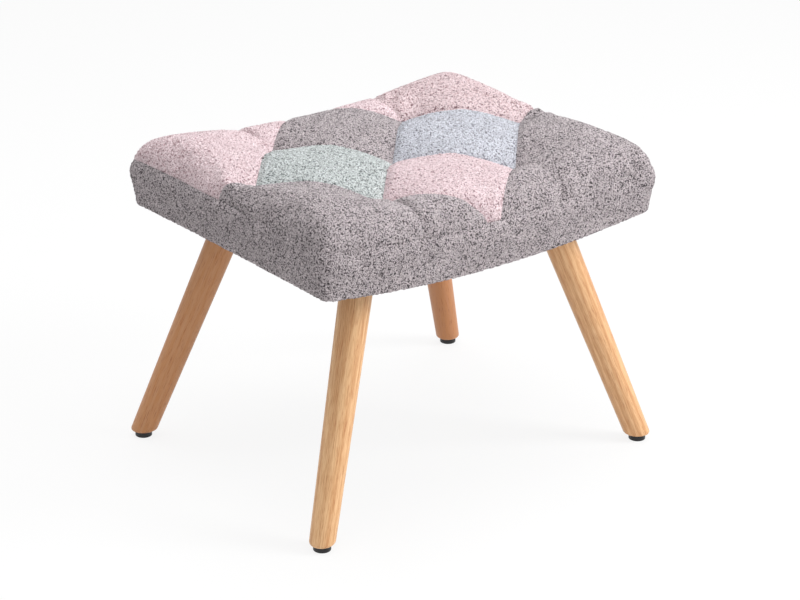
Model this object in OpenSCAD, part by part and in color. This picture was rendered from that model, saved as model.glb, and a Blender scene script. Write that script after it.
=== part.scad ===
// A tufted patchwork footstool on four splayed wooden legs.
// The origin is on the floor under the middle of the seat, +X runs along the seat and -Y is its front.

/* [Seat] */
// Length of the seat over its cover, left to right
seat_l = 560; // [500:5:640]
// Width of the seat over its cover, front to back
seat_w = 450; // [400:5:520]
// Height of the cover's underside above the floor, at the middle of the seat
underside_h = 333; // [300:1:380]
// Height by which the two ends of the seat rise above its middle
end_rise = 21; // [10:1:35]
// Height of the boxed sides, from the underside to the top seam
side_h = 63; // [58:1:85]
// Radius of the seat's corners, seen from above
corner_r = 18; // [16:1:30]
// How far the sides lean in towards their lower edge
side_lean = 7; // [2:0.5:9]
// How far the middle of each side is drawn in between its corners
side_waist = 3; // [0:0.5:4]

/* [Padding and cover] */
// Height of the tufts above the top seam
tuft_h = 18; // [10:1:30]
// Height of the padding's puffs above the tufts
puff_h = 25; // [12:1:35]
// Width of the rounded edge between the top seam and the level of the tufts
roll_w = 33; // [25:1:45]
// Width over which the puffs fade out towards the edge
fade_w = 70; // [50:1:90]
// Height that a seam keeps halfway between two tufts, as a share of the puffs' height
seam_share = 0.75; // [0.4:0.05:0.9]
// Distance from the outermost tufts to the ends of the seat
tuft_end_margin = 52; // [40:1:80]
// How far the next row of tufts would lie beyond the front and back edges
tuft_row_overrun = 25; // [5:1:40]
// Thickness of the looped cloth with its backing
cover_t = 3; // [2:0.25:3.5]
// Gap between the cloth of two sewn pieces
seam_gap = 0.4; // [0.3:0.1:0.8]
// Room for the thin wadding between the cloth and the pad below it
top_wadding = 5; // [4.5:0.25:8]
// How far the side bands are turned under the frame
turn_under = 26; // [22:1:30]
// Gap between the wadding or pad and what lies beside it
wadding_gap = 0.3; // [0.2:0.05:0.5]

/* [Frame] */
// Height of the rails
rail_h = 36; // [32:1:45]
// Thickness of the rails
rail_t = 18; // [15:1:22]
// Distance from the seat's outline to the frame
frame_inset = 16; // [15:0.5:18]
// Thickness of the bent plywood deck
deck_t = 6; // [4:0.5:9]
// Width of the two cross battens that carry the legs
batten_w = 74; // [64:1:76]
// Thickness of the cross battens
batten_t = 28; // [24:1:32]
// Thickness of the glue lines
glue_gap = 0.3; // [0.1:0.05:0.4]
// Diameter of the screws of the frame
screw_d = 4; // [3.5:0.5:5]
// Length of the screws that hold the rails
rail_screw_l = 50; // [40:5:60]
// Length of the screws that hold the deck
deck_screw_l = 25; // [20:5:35]
// Clearance round a screw in its hole
screw_clear = 0.1; // [0.05:0.05:0.3]

/* [Legs] */
// Diameter of a leg at its top
leg_top_d = 45; // [40:1:52]
// Diameter of a leg at its foot
leg_foot_d = 35; // [32:1:40]
// Gap between a tuft's washer under the deck and the batten beyond it, which sets where the legs stand
batten_gap = 1; // [0.5:0.5:6]
// Distance from the front or back of the seat to the middle of a leg's top
leg_side_margin = 84; // [76:1:100]
// How far a leg's foot stands outside its top, along the seat
splay_l = 117; // [60:1:140]
// How far a leg's foot stands outside its top, across the seat
splay_w = 75; // [40:1:90]
// Diameter of the hanger bolts
bolt_d = 8; // [6:1:10]
// Length of a hanger bolt in the leg
bolt_in_leg = 30; // [22:1:35]
// Clearance round the hanger bolt in the batten
bolt_clear = 0.5; // [0.2:0.1:1]
// Diameter of the tee nut's flange
tee_flange_d = 22; // [18:1:26]
// Thickness of the tee nut's flange
tee_flange_t = 1.5; // [1:0.25:2]
// Diameter of the tee nut's barrel
tee_barrel_d = 10; // [9.5:0.5:12]
// Length of the tee nut's barrel
tee_barrel_l = 10; // [8:1:14]

/* [Glides] */
// Diameter of a glide's pad
pad_d = 24; // [20:1:28]
// Height of a glide's pad
pad_h = 8.5; // [4:0.5:12]
// Radius of the pad's lower edge
pad_edge_r = 1.2; // [0.5:0.1:1.8]
// Gap between a pad and the foot when it is screwed right in
pad_gap = 0.3; // [0.2:0.05:0.5]
// Diameter of the glide's threaded stud
stud_d = 6; // [5:1:8]
// Length of the stud above the pad
stud_l = 20; // [18:1:26]
// Depth of the stud in its pad
stud_seat = 2.5; // [2:0.25:3]
// Running clearance round the stud
stud_clear = 0.05; // [0.02:0.01:0.08]
// Diameter of the threaded insert in the foot
insert_d = 10; // [9:0.5:12]
// Length of the threaded insert
insert_l = 13; // [10:1:15]

/* [Tufts and dust cover] */
// Diameter of the tufting twine
twine_d = 2; // [1:0.5:3]
// Diameter of the washers under the deck
tuft_washer_d = 20; // [14:1:26]
// Thickness of the washers under the deck
tuft_washer_t = 2; // [1:0.5:3]
// Thickness of the dust cover
dust_t = 0.8; // [0.5:0.1:1.5]
// Distance from the seat's outline to the edge of the dust cover
dust_inset = 20; // [18:1:24]
// Diameter of the knot at the end of a twine
knot_d = 5; // [4:0.5:7]
// Clearance between a leg and the dust cover round it
dust_hole_clear = 3; // [2:0.5:6]
// Largest distance between staples of the dust cover
staple_pitch = 60; // [40:5:90]
// Width of a staple's crown
staple_w = 10; // [6:1:13]
// Length of a staple's legs
staple_l = 10; // [8:1:12]
// Thickness of a staple's wire
staple_wire = 0.9; // [0.6:0.1:1.2]

/* [Hidden] */
// Length by which cuts run past a solid
over = 5;
// Steps of the large arcs, of round wood and of small round parts
arc_steps = 720;
wood_steps = 96;
small_steps = 48;

half_l = seat_l/2;
half_w = seat_w/2;
// The saddle curve is one arc about an axis along Y
arc_r = (half_l*half_l + end_rise*end_rise)/(2*end_rise);
arc_z = underside_h + arc_r;

// Rise of the saddle curve above its middle, at a distance x
function bow(x) = arc_r - sqrt(arc_r*arc_r - x*x);

// The same for the curve about the same axis that passes through height z in the middle
function bow_at(x, z) = arc_z - z - sqrt(pow(arc_z - z, 2) - x*x);

// Levels of the frame at the middle of the seat
rail_z = underside_h + cover_t + glue_gap;
deck_z = rail_z + rail_h + glue_gap;
foam_z = deck_z + deck_t + glue_gap;
frame_half_l = half_l - frame_inset;
frame_half_w = half_w - frame_inset;

// Lattice of the tufts: seams run from tuft to tuft along the diagonals
tuft_dx = (half_l - tuft_end_margin)/2;
tuft_dy = (half_w + tuft_row_overrun)/2;
tuft_shares = [[0, 0], [-1, -1], [1, -1], [-1, 1], [1, 1], [-2, 0], [2, 0]];

// The battens lie under the deck just outside the first tufts' washers, and the legs under the battens
batten_x = tuft_dx + tuft_washer_d/2 + batten_gap + batten_w/2;
leg_top_y = half_w - leg_side_margin;
batten_top = deck_z + bow(batten_x - batten_w/2) - glue_gap;
batten_z = batten_top - batten_t;

// Signs of the four corners
corners = [[-1, -1], [1, -1], [-1, 1], [1, 1]];

// Leg geometry
leg_foot_z = pad_h + pad_gap;
foot_x = batten_x + splay_l;
foot_y = leg_top_y + splay_w;
leg_dz = batten_z - leg_foot_z;
leg_len = norm([splay_l, splay_w, leg_dz]);
leg_tilt = acos(leg_dz/leg_len);
leg_over = leg_top_d;
leg_taper = (leg_top_d - leg_foot_d)/leg_len;

boucle_grey = [0.59, 0.56, 0.58];
boucle_pink = [0.87, 0.75, 0.77];
boucle_pale_pink = [0.84, 0.71, 0.72];
boucle_blue = [0.77, 0.79, 0.84];
boucle_green = [0.72, 0.76, 0.74];
oak = [0.84, 0.65, 0.43];
pine = [0.86, 0.75, 0.56];

// Shape of the padded top

// Share of full height across the rounded edge, at a distance d inside the top seam
function edge_share(d) = d >= roll_w ? 1 : sqrt(max(0, 1 - pow(1 - max(0, d)/roll_w, 2)));

// Exponent that narrows the valleys along the seams
swell_power = 1.3;

// Rise from a seam to the middle of the puffs beside it, with t counted in puffs
function swell(t) = pow(abs(sin(180*t)), swell_power);

// Height of the puffs above the tufts
function puff(x, y) =
    let (a = swell((x/tuft_dx + y/tuft_dy)/2), b = swell((x/tuft_dx - y/tuft_dy)/2))
    puff_h*(1 - (1 - seam_share*a)*(1 - seam_share*b));

// Share of the puffs' height at a distance d inside the top seam
function fade_share(d) = pow(sin(90*min(1, max(0, d)/fade_w)), 2);

// Height of the cloth's upper face above the floor
function cover_top(x, y) =
    let (dx = half_l - abs(x), dy = half_w - abs(y))
    underside_h + bow(x) + side_h
    + tuft_h*edge_share(dx)*edge_share(dy)
    + puff(x, y)*fade_share(dx)*fade_share(dy);

// Squeezes the plan a little between the corners, and keeps a point's height above the saddle curve
function drawn_in(x, y, z) =
    let (
        near_x = x*(1 - side_waist/half_l*(1 - pow(y/half_w, 2))),
        near_y = y*(1 - side_waist/half_w*(1 - pow(x/half_l, 2)))
    )
    [near_x, near_y, z + bow(near_x) - bow(x)];

// Half width of the plan at x, a distance inset inside the seat's outline, with its rounded corners
function plan_y(x, inset) =
    let (past = max(0, abs(x) - (half_l - corner_r)), r = corner_r - inset)
    half_w - corner_r + sqrt(max(0, r*r - past*past));

// Skins a row of sections, each a loop of as many points
module loft(sections, closed = false) {
    n = len(sections);
    m = len(sections[0]);
    last = closed ? n - 1 : n - 2;
    points = [for (s = sections) each s];
    sides = [
        for (i = [0:last], j = [0:m - 1])
        let (k = (i + 1)%n, l = (j + 1)%m)
        each [[i*m + j, i*m + l, k*m + l], [i*m + j, k*m + l, k*m + j]]
    ];
    // Each end is a strip, because its loop runs out along one side and back along the other
    ends = closed ? [] : [
        for (j = [0:m/2 - 2])
        let (p = j, q = j + 1, r = m - 2 - j, s = m - 1 - j, e = (n - 1)*m)
        each [[p, s, r], [p, r, q], [e + p, e + r, e + s], [e + p, e + q, e + r]]
    ];
    polyhedron(points, concat(sides, ends));
}

// Rigid parts

// A board bent to the saddle curve, its lower face at height z in the middle
module bent_board(x_from, x_to, y_from, y_to, z, t) {
    intersection() {
        translate([x_from, y_from, z - over])
            cube([x_to - x_from, y_to - y_from, t + end_rise + 2*over]);
        translate([0, y_to + over, arc_z])
            rotate([90, 0, 0])
                difference() {
                    cylinder(h = y_to - y_from + 2*over, r = arc_z - z, $fn = arc_steps);
                    translate([0, 0, -over])
                        cylinder(h = y_to - y_from + 4*over, r = arc_z - z - t, $fn = arc_steps);
                }
    }
}

// Places a small piece against the saddle curve at x, turned to the curve's slope
module on_curve(x, y, z) {
    translate([x, y, z + bow(x)])
        rotate([0, -asin(x/arc_r), 0])
            children();
}

// A countersunk wood screw pointing along +Z, its head's face at the origin
module screw(length, clear) {
    r = screw_d/2 + clear;
    if (clear > 0)
        translate([0, 0, -screw_d/2])
            cylinder(h = screw_d/2, r = 2*r, $fn = small_steps);
    cylinder(h = length + clear, r = r, $fn = small_steps);
    cylinder(h = screw_d/2, r1 = 2*r, r2 = r, $fn = small_steps);
}

// Screws through the front and back rails into the ends of the side rails and battens
module rail_screws(clear = 0) {
    side_x = frame_half_l - rail_t/2;
    height_shares = [1/3, 2/3];
    for (side = [-1, 1], end = [-1, 1], share = height_shares) {
        translate([side*side_x, end*frame_half_w, rail_z + bow(side_x) + share*rail_h])
            rotate([end*90, 0, 0])
                screw(rail_screw_l, clear);
        translate([side*batten_x + (share - 1/2)*batten_w, end*frame_half_w, batten_z + batten_t/2])
            rotate([end*90, 0, 0])
                screw(rail_screw_l, clear);
    }
}

// Screws down through the deck into the rails
module deck_screws_at(clear = 0) {
    x_shares = [-0.9, -0.3, 0.3, 0.9];
    for (end = [-1, 1], share = x_shares) {
        x = share*(frame_half_l - rail_t/2);
        on_curve(x, end*(frame_half_w - rail_t/2), deck_z + deck_t - glue_gap)
            mirror([0, 0, 1])
                screw(deck_screw_l, clear);
    }
}

module long_rail(end) {
    y = end*(frame_half_w - rail_t/2);
    color(pine)
        difference() {
            bent_board(-frame_half_l, frame_half_l, y - rail_t/2, y + rail_t/2, rail_z, rail_h);
            rail_screws(screw_clear);
            deck_screws_at(screw_clear);
        }
}

module side_rail(side) {
    x = side*(frame_half_l - rail_t/2);
    color(pine)
        difference() {
            bent_board(
                x - rail_t/2, x + rail_t/2,
                -(frame_half_w - rail_t), frame_half_w - rail_t,
                rail_z, rail_h
            );
            rail_screws(screw_clear);
        }
}

module front_rail() { long_rail(-1); }
module back_rail() { long_rail(1); }
module left_rail() { side_rail(-1); }
module right_rail() { side_rail(1); }

module leg_batten(side) {
    half = frame_half_w - rail_t;
    color(pine)
        difference() {
            translate([side*batten_x - batten_w/2, -half, batten_z])
                cube([batten_w, 2*half, batten_t]);
            rail_screws(screw_clear);
            for (end = [-1, 1])
                translate([side*batten_x, end*leg_top_y, batten_z]) {
                    translate([0, 0, -over])
                        cylinder(h = batten_t + 2*over, d = bolt_d + 2*bolt_clear, $fn = small_steps);
                    translate([0, 0, batten_t - tee_flange_t - tee_barrel_l - screw_clear])
                        cylinder(h = batten_t, d = tee_barrel_d + 2*screw_clear, $fn = small_steps);
                    translate([0, 0, batten_t - tee_flange_t])
                        cylinder(h = batten_t, d = tee_flange_d + 2*bolt_clear, $fn = small_steps);
                }
        }
}

module left_leg_batten() { leg_batten(-1); }
module right_leg_batten() { leg_batten(1); }

module seat_deck() {
    color([0.80, 0.68, 0.48])
        difference() {
            bent_board(-frame_half_l, frame_half_l, -frame_half_w, frame_half_w, deck_z, deck_t);
            deck_screws_at(screw_clear);
            for (t = tuft_shares)
                translate([t[0]*tuft_dx, t[1]*tuft_dy, deck_z - over])
                    cylinder(
                        h = deck_t + end_rise + 2*over,
                        d = twine_d + 2*bolt_clear, $fn = small_steps
                    );
        }
}

module frame_screws() {
    color("silver") rail_screws();
}

module deck_screws() {
    color("silver") deck_screws_at();
}

module tee_nuts() {
    color("silver")
        for (c = corners)
            translate([c[0]*batten_x, c[1]*leg_top_y, batten_top])
                difference() {
                    union() {
                        translate([0, 0, -tee_flange_t])
                            cylinder(h = tee_flange_t, d = tee_flange_d, $fn = small_steps);
                        translate([0, 0, -tee_flange_t - tee_barrel_l])
                            cylinder(h = tee_barrel_l + tee_flange_t, d = tee_barrel_d, $fn = small_steps);
                    }
                    translate([0, 0, -batten_t])
                        cylinder(h = 2*batten_t, d = bolt_d + 2*stud_clear, $fn = small_steps);
                }
}

module hanger_bolts() {
    color("silver")
        for (c = corners)
            translate([c[0]*batten_x, c[1]*leg_top_y, batten_z - bolt_in_leg])
                cylinder(h = bolt_in_leg + batten_t - tee_flange_t, d = bolt_d, $fn = small_steps);
}

// One leg: a tapered round piece, cut level at the batten and at the foot
module leg(sx, sy) {
    color(oak)
        difference() {
            intersection() {
                translate([sx*foot_x, sy*foot_y, leg_foot_z])
                    rotate([0, -leg_tilt, atan2(sy*splay_w, sx*splay_l)])
                        translate([0, 0, -leg_over])
                            cylinder(
                                h = leg_len + 2*leg_over,
                                d1 = leg_foot_d - leg_taper*leg_over,
                                d2 = leg_top_d + leg_taper*leg_over,
                                $fn = wood_steps
                            );
                translate([-foot_x - leg_foot_d, -foot_y - leg_foot_d, leg_foot_z])
                    cube([2*(foot_x + leg_foot_d), 2*(foot_y + leg_foot_d), leg_dz]);
            }
            translate([sx*batten_x, sy*leg_top_y, batten_z - bolt_in_leg - stud_clear])
                cylinder(h = bolt_in_leg + over, d = bolt_d + 2*stud_clear, $fn = small_steps);
            translate([sx*foot_x, sy*foot_y, leg_foot_z - over]) {
                cylinder(h = insert_l + over, d = insert_d + 2*stud_clear, $fn = small_steps);
                cylinder(h = stud_l + 2*over, d = stud_d + 2*bolt_clear, $fn = small_steps);
            }
        }
}

module leg_front_left() { leg(-1, -1); }
module leg_front_right() { leg(1, -1); }
module leg_back_left() { leg(-1, 1); }
module leg_back_right() { leg(1, 1); }

module glide_inserts() {
    color([0.78, 0.66, 0.34])
        for (c = corners)
            translate([c[0]*foot_x, c[1]*foot_y, leg_foot_z])
                difference() {
                    cylinder(h = insert_l, d = insert_d, $fn = small_steps);
                    translate([0, 0, -over])
                        cylinder(h = insert_l + 2*over, d = stud_d + 2*stud_clear, $fn = small_steps);
                }
}

module glide_stud(sx, sy) {
    color("silver")
        translate([sx*foot_x, sy*foot_y, pad_h - stud_seat])
            cylinder(h = stud_seat + stud_l, d = stud_d, $fn = small_steps);
}

module glide_pad(sx, sy) {
    inner = pad_d/2 - pad_edge_r;
    color([0.07, 0.07, 0.07])
        translate([sx*foot_x, sy*foot_y, 0])
            difference() {
                union() {
                    rotate_extrude($fn = small_steps)
                        intersection() {
                            translate([inner, pad_edge_r]) circle(r = pad_edge_r, $fn = small_steps);
                            translate([inner, 0]) square(pad_edge_r);
                        }
                    cylinder(h = pad_h, r = inner, $fn = small_steps);
                    translate([0, 0, pad_edge_r])
                        cylinder(h = pad_h - pad_edge_r, d = pad_d, $fn = small_steps);
                }
                translate([0, 0, pad_h - stud_seat - stud_clear])
                    cylinder(h = stud_seat + over, d = stud_d + 2*stud_clear, $fn = small_steps);
            }
}

module glide_stud_front_left() { glide_stud(-1, -1); }
module glide_stud_front_right() { glide_stud(1, -1); }
module glide_stud_back_left() { glide_stud(-1, 1); }
module glide_stud_back_right() { glide_stud(1, 1); }
module glide_pad_front_left() { glide_pad(-1, -1); }
module glide_pad_front_right() { glide_pad(1, -1); }
module glide_pad_back_left() { glide_pad(-1, 1); }
module glide_pad_back_right() { glide_pad(1, 1); }

// Soft parts

// Closer stations over the rounded edge, as shares of what is left past the even ones
edge_shares = [0.5, 0.8, 1];

// Stations across half a plan: even steps of one pitch, then closer ones up to the end
function half_stations(pitch, count, end) =
    let (last = pitch*count, rest = end - last)
    concat([for (i = [1:count]) pitch*i], [for (share = edge_shares) last + rest*share]);

// A list with its own mirror image and the middle
function mirrored(list) = concat([for (i = [len(list) - 1:-1:0]) -list[i]], [0], list);

// Steps of the pad's stations and of a patch's rows between two tufts
tuft_steps = 4;
// How strongly the rows of a patch close up towards the edge
edge_crowding = 1.4;

// The pad on the deck: its underside is bent with the deck and its top follows the tufted cover
module seat_foam() {
    inset = cover_t + wadding_gap;
    xs = mirrored(half_stations(tuft_dx/tuft_steps, 2*tuft_steps, half_l - inset));
    ys = mirrored(half_stations(tuft_dy/(tuft_steps + 1), 2*tuft_steps, half_w - inset));
    sections = [
        for (x = xs)
        // Rows close up where the corner is rounded
        let (fit_share = plan_y(x, inset)/(half_w - inset))
        concat(
            [for (y = ys) drawn_in(x, y*fit_share, cover_top(x, y*fit_share) - cover_t - top_wadding)],
            [for (j = [len(ys) - 1:-1:0]) drawn_in(x, ys[j]*fit_share, foam_z + bow_at(x, foam_z))]
        )
    ];
    color([0.93, 0.90, 0.80]) loft(sections);
}

// Sorts a list of numbers from low to high
function sorted(list) =
    len(list) < 2 ? list :
    let (pivot = list[0])
    concat(
        sorted([for (i = [1:len(list) - 1]) if (list[i] < pivot) list[i]]),
        [pivot],
        sorted([for (i = [1:len(list) - 1]) if (list[i] >= pivot) list[i]])
    );

// One patch of the top cover: the diamond about the lattice point [a, b], trimmed at the seat's edge
module patch(a, b) {
    inset = cover_t + seam_gap;
    cx = a*tuft_dx;
    cy = b*tuft_dy;
    x_end = half_l - inset;
    // The diamond is drawn in by half a seam's gap, and its two side points are cut off square
    gap_share = seam_gap/2/tuft_dx + seam_gap/2/tuft_dy;
    tip_share = cover_t/tuft_dy;
    past_edge = max(0, abs(cy) - plan_y(cx, inset));
    extent = tuft_dx*(1 - gap_share - tip_share - past_edge/tuft_dy);
    x_from = max(-x_end, cx - extent);
    x_to = min(x_end, cx + extent);
    count = ceil((x_to - x_from)*tuft_steps/tuft_dx);
    rows = abs(a) == 3 ? tuft_steps : abs(b) == 2 ? tuft_steps + 2 : 2*tuft_steps + (cy == 0 ? 0 : 2);
    // Rows close up towards the front or back edge of the seat
    row_shares = [for (j = [0:rows]) cy == 0 ? j/rows : 1 - pow(1 - j/rows, edge_crowding)];
    // Columns stand evenly, apart from those at the corners of the outline and over the rounded edge
    reach = tuft_dx*(1 - (plan_y(cx, inset) - abs(cy))/tuft_dy);
    kinks = concat(
        [cx],
        reach > 0 && past_edge == 0 ? [cx - reach, cx + reach] : [],
        [for (side = [-1, 1], d = [corner_r/2, corner_r, roll_w]) side*(half_l - d)]
    );
    near = (x_to - x_from)/count/3;
    kept = [for (k = kinks) if (k > x_from + near && k < x_to - near) k];
    even = [for (i = [0:count]) x_from + (x_to - x_from)*i/count];
    free = [for (x = even) if (len([for (k = kept) if (abs(k - x) < near) k]) == 0) x];
    sections = [
        for (x = sorted(concat(kept, free)))
        let (
            half = tuft_dy*(1 - gap_share - abs(x - cx)/tuft_dx),
            // Outside its middle a corner patch goes on to the seat's corner
            outer = cx != 0 && cy != 0 && abs(x) > abs(cx) ? 2*tuft_dy : half,
            edge = plan_y(x, inset),
            low = max(cy - (cy < 0 ? outer : half), -edge),
            high = min(cy + (cy > 0 ? outer : half), edge),
            ys = [
                for (j = [0:rows])
                cy < 0 ? high + (low - high)*row_shares[rows - j] : low + (high - low)*row_shares[j]
            ]
        )
        concat(
            [for (y = ys) drawn_in(x, y, cover_top(x, y))],
            [for (j = [rows:-1:0]) drawn_in(x, ys[j], cover_top(x, ys[j]) - cover_t)]
        )
    ];
    loft(sections);
}

module patch_front_middle() { color(boucle_pink) patch(0, -1); }
module patch_back_middle() { color(boucle_grey) patch(0, 1); }
module patch_middle_left() { color(boucle_green) patch(-1, 0); }
module patch_middle_right() { color(boucle_blue) patch(1, 0); }
module patch_front_left() { color(boucle_grey) patch(-2, -1); }
module patch_front_right() { color(boucle_grey) patch(2, -1); }
module patch_back_left() { color(boucle_pink) patch(-2, 1); }
module patch_back_right() { color(boucle_pale_pink) patch(2, 1); }
module patch_front_edge_left() { color(boucle_grey) patch(-1, -2); }
module patch_front_edge_right() { color(boucle_grey) patch(1, -2); }
module patch_back_edge_left() { color(boucle_pink) patch(-1, 2); }
module patch_back_edge_right() { color(boucle_pink) patch(1, 2); }
module patch_left_end() { color(boucle_grey) patch(-3, 0); }
module patch_right_end() { color(boucle_grey) patch(3, 0); }

// Height at which the top cover meets the inner edge of the bands
band_top = side_h + tuft_h*edge_share(cover_t);

// Outline of a side band's cloth as [distance inside the seat's outline, height above the underside]
band_profile = [
    [turn_under, 0],
    [side_lean + cover_t, 0],
    [side_lean, cover_t],
    [side_lean/2, side_h/4],
    [0, side_h*2/3],
    [0, side_h],
    [cover_t, band_top],
    [cover_t, side_h*2/3],
    [side_lean/2 + cover_t, side_h/4],
    [side_lean + cover_t, 2*cover_t],
    [side_lean + 2*cover_t, cover_t],
    [turn_under, cover_t]
];

// A profile placed on the seat's outline, about the centre of a corner's arc or a point between two.
// Reach is the most that the profile may go in from the outline, which mitres what is turned under.
function profile_at(profile, centre, angle, reach) = [
    for (p = profile)
    let (
        r = corner_r - min(p[0], reach),
        x = centre[0] + r*cos(angle),
        y = centre[1] + r*sin(angle)
    )
    drawn_in(x, y, underside_h + bow(x) + p[1])
];

// Steps of a corner's arc on each side of its middle
corner_steps = 3;

// Sections of a side band, from the middle of one corner to the middle of the next
module side_band(from_corner, to_corner, angle, count) {
    core = [half_l - corner_r, half_w - corner_r];
    from = [from_corner[0]*core[0], from_corner[1]*core[1]];
    to = [to_corner[0]*core[0], to_corner[1]*core[1]];
    corner_reach = corner_r - cover_t/2;
    swing = 45 - asin(seam_gap/2/corner_r);
    sections = concat(
        [for (i = [0:corner_steps - 1])
            profile_at(band_profile, from, angle - swing*(1 - i/corner_steps), corner_reach)],
        [for (i = [0:count])
            let (share = i/count, length = norm(to - from))
            profile_at(
                band_profile, from + (to - from)*share, angle,
                corner_reach + length*min(share, 1 - share)
            )],
        [for (i = [1:corner_steps])
            profile_at(band_profile, to, angle + swing*i/corner_steps, corner_reach)]
    );
    color(boucle_grey) loft(sections);
}

module front_band() { side_band([-1, -1], [1, -1], 270, 16); }
module back_band() { side_band([1, 1], [-1, 1], 90, 16); }
module left_band() { side_band([-1, 1], [-1, -1], 180, 10); }
module right_band() { side_band([1, -1], [1, 1], 0, 10); }

// Wadding in a ring between the frame's sides and the bands
module edge_wadding() {
    low = 2*cover_t;
    high = foam_z - underside_h - glue_gap;
    core = [half_l - corner_r, half_w - corner_r];
    skin = cover_t + wadding_gap;
    outer = [
        [side_lean + skin, low],
        [side_lean/2 + skin, side_h/4],
        [skin, side_h*2/3],
        [skin, high]
    ];
    // The inner face is straight and clears the frame's square corners
    inner = corner_r - sqrt(2)*max(0, corner_r - frame_inset) - wadding_gap;
    turns = [[1, -1, 270], [1, 1, 0], [-1, 1, 90], [-1, -1, 180]];
    // The long sides take more steps, because they follow the saddle curve
    side_steps = [4, 12];
    stations = [
        for (i = [0:3])
        let (
            turn = turns[i],
            next = turns[(i + 1)%4],
            centre = [turn[0]*core[0], turn[1]*core[1]],
            after = [next[0]*core[0], next[1]*core[1]]
        )
        each concat(
            [for (j = [0:corner_steps]) [centre, turn[2] + 90*j/corner_steps]],
            [for (j = [1:side_steps[i%2] - 1])
                [centre + (after - centre)*j/side_steps[i%2], turn[2] + 90]]
        )
    ];
    sections = [
        for (s = stations)
        let (
            r = corner_r - inner,
            x = s[0][0] + r*cos(s[1]),
            y = s[0][1] + r*sin(s[1])
        )
        concat(
            profile_at(outer, s[0], s[1], frame_inset),
            [for (i = [3:-1:0]) [x, y, underside_h + bow(x) + outer[i][1]]]
        )
    ];
    color([0.95, 0.95, 0.93]) loft(sections, closed = true);
}

module tuft_twines() {
    color([0.75, 0.70, 0.60])
        for (t = tuft_shares) {
            x = t[0]*tuft_dx;
            y = t[1]*tuft_dy;
            low = deck_z + bow(x) - glue_gap - tuft_washer_t;
            top = cover_top(x, y) - cover_t - glue_gap;
            translate([x, y, low - knot_d/2])
                cylinder(h = top - low + knot_d/2, d = twine_d, $fn = small_steps);
            translate([x, y, low - knot_d/2 - glue_gap])
                sphere(d = knot_d, $fn = small_steps);
        }
}

module tuft_washers() {
    color([0.15, 0.15, 0.15])
        for (t = tuft_shares)
            on_curve(t[0]*tuft_dx, t[1]*tuft_dy, deck_z - glue_gap - tuft_washer_t)
                difference() {
                    cylinder(h = tuft_washer_t, d = tuft_washer_d, $fn = small_steps);
                    translate([0, 0, -over])
                        cylinder(h = 2*over + tuft_washer_t, d = twine_d + 2*bolt_clear, $fn = small_steps);
                }
}

// The dust cover's lower face in the middle of the seat
dust_z = underside_h - glue_gap - dust_t;
dust_half_l = half_l - dust_inset;
dust_half_w = half_w - dust_inset;

module dust_cover() {
    depth = batten_z - dust_z - bow(batten_x);
    color([0.12, 0.12, 0.13])
        difference() {
            bent_board(-dust_half_l, dust_half_l, -dust_half_w, dust_half_w, dust_z, dust_t);
            for (c = corners)
                translate([
                    c[0]*(batten_x + splay_l*depth/leg_dz),
                    c[1]*(leg_top_y + splay_w*depth/leg_dz),
                    dust_z - over
                ])
                    cylinder(
                        h = end_rise + 2*over,
                        d = leg_top_d/cos(leg_tilt) + 2*dust_hole_clear,
                        $fn = wood_steps
                    );
        }
}

// A staple driven upwards, its crown along X under the origin
module staple() {
    for (side = [-1, 1])
        translate([side*(staple_w - staple_wire)/2 - staple_wire/2, -staple_wire/2, -staple_wire])
            cube([staple_wire, staple_wire, staple_l]);
    translate([-staple_w/2, -staple_wire/2, -staple_wire])
        cube([staple_w, staple_wire, staple_wire]);
}

module staples() {
    edge = (frame_inset + rail_t - dust_inset)/2;
    long_half = dust_half_l - edge;
    short_half = dust_half_w - edge;
    long_count = ceil(2*long_half/staple_pitch);
    short_count = ceil(2*short_half/staple_pitch);
    color("silver") {
        for (end = [-1, 1], i = [0:long_count - 1])
            on_curve(long_half*(2*(i + 0.5)/long_count - 1), end*short_half, dust_z)
                staple();
        for (side = [-1, 1], i = [0:short_count - 1])
            on_curve(side*long_half, short_half*(2*(i + 0.5)/short_count - 1), dust_z)
                rotate([0, 0, 90])
                    staple();
    }
}

front_rail();
back_rail();
left_rail();
right_rail();
left_leg_batten();
right_leg_batten();
seat_deck();
frame_screws();
deck_screws();
tee_nuts();
hanger_bolts();
leg_front_left();
leg_front_right();
leg_back_left();
leg_back_right();
glide_inserts();
glide_stud_front_left();
glide_stud_front_right();
glide_stud_back_left();
glide_stud_back_right();
glide_pad_front_left();
glide_pad_front_right();
glide_pad_back_left();
glide_pad_back_right();
edge_wadding();
seat_foam();
tuft_twines();
tuft_washers();
patch_front_middle();
patch_back_middle();
patch_middle_left();
patch_middle_right();
patch_front_left();
patch_front_right();
patch_back_left();
patch_back_right();
patch_front_edge_left();
patch_front_edge_right();
patch_back_edge_left();
patch_back_edge_right();
patch_left_end();
patch_right_end();
front_band();
back_band();
left_band();
right_band();
dust_cover();
staples();
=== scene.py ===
"""A tufted patchwork footstool in looped cloth on four splayed oak legs, dressed around its CAD frame."""
import math

import bmesh
import bpy
import numpy as np
from mathutils import Matrix, Vector, noise
from mathutils.bvhtree import BVHTree


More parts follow.
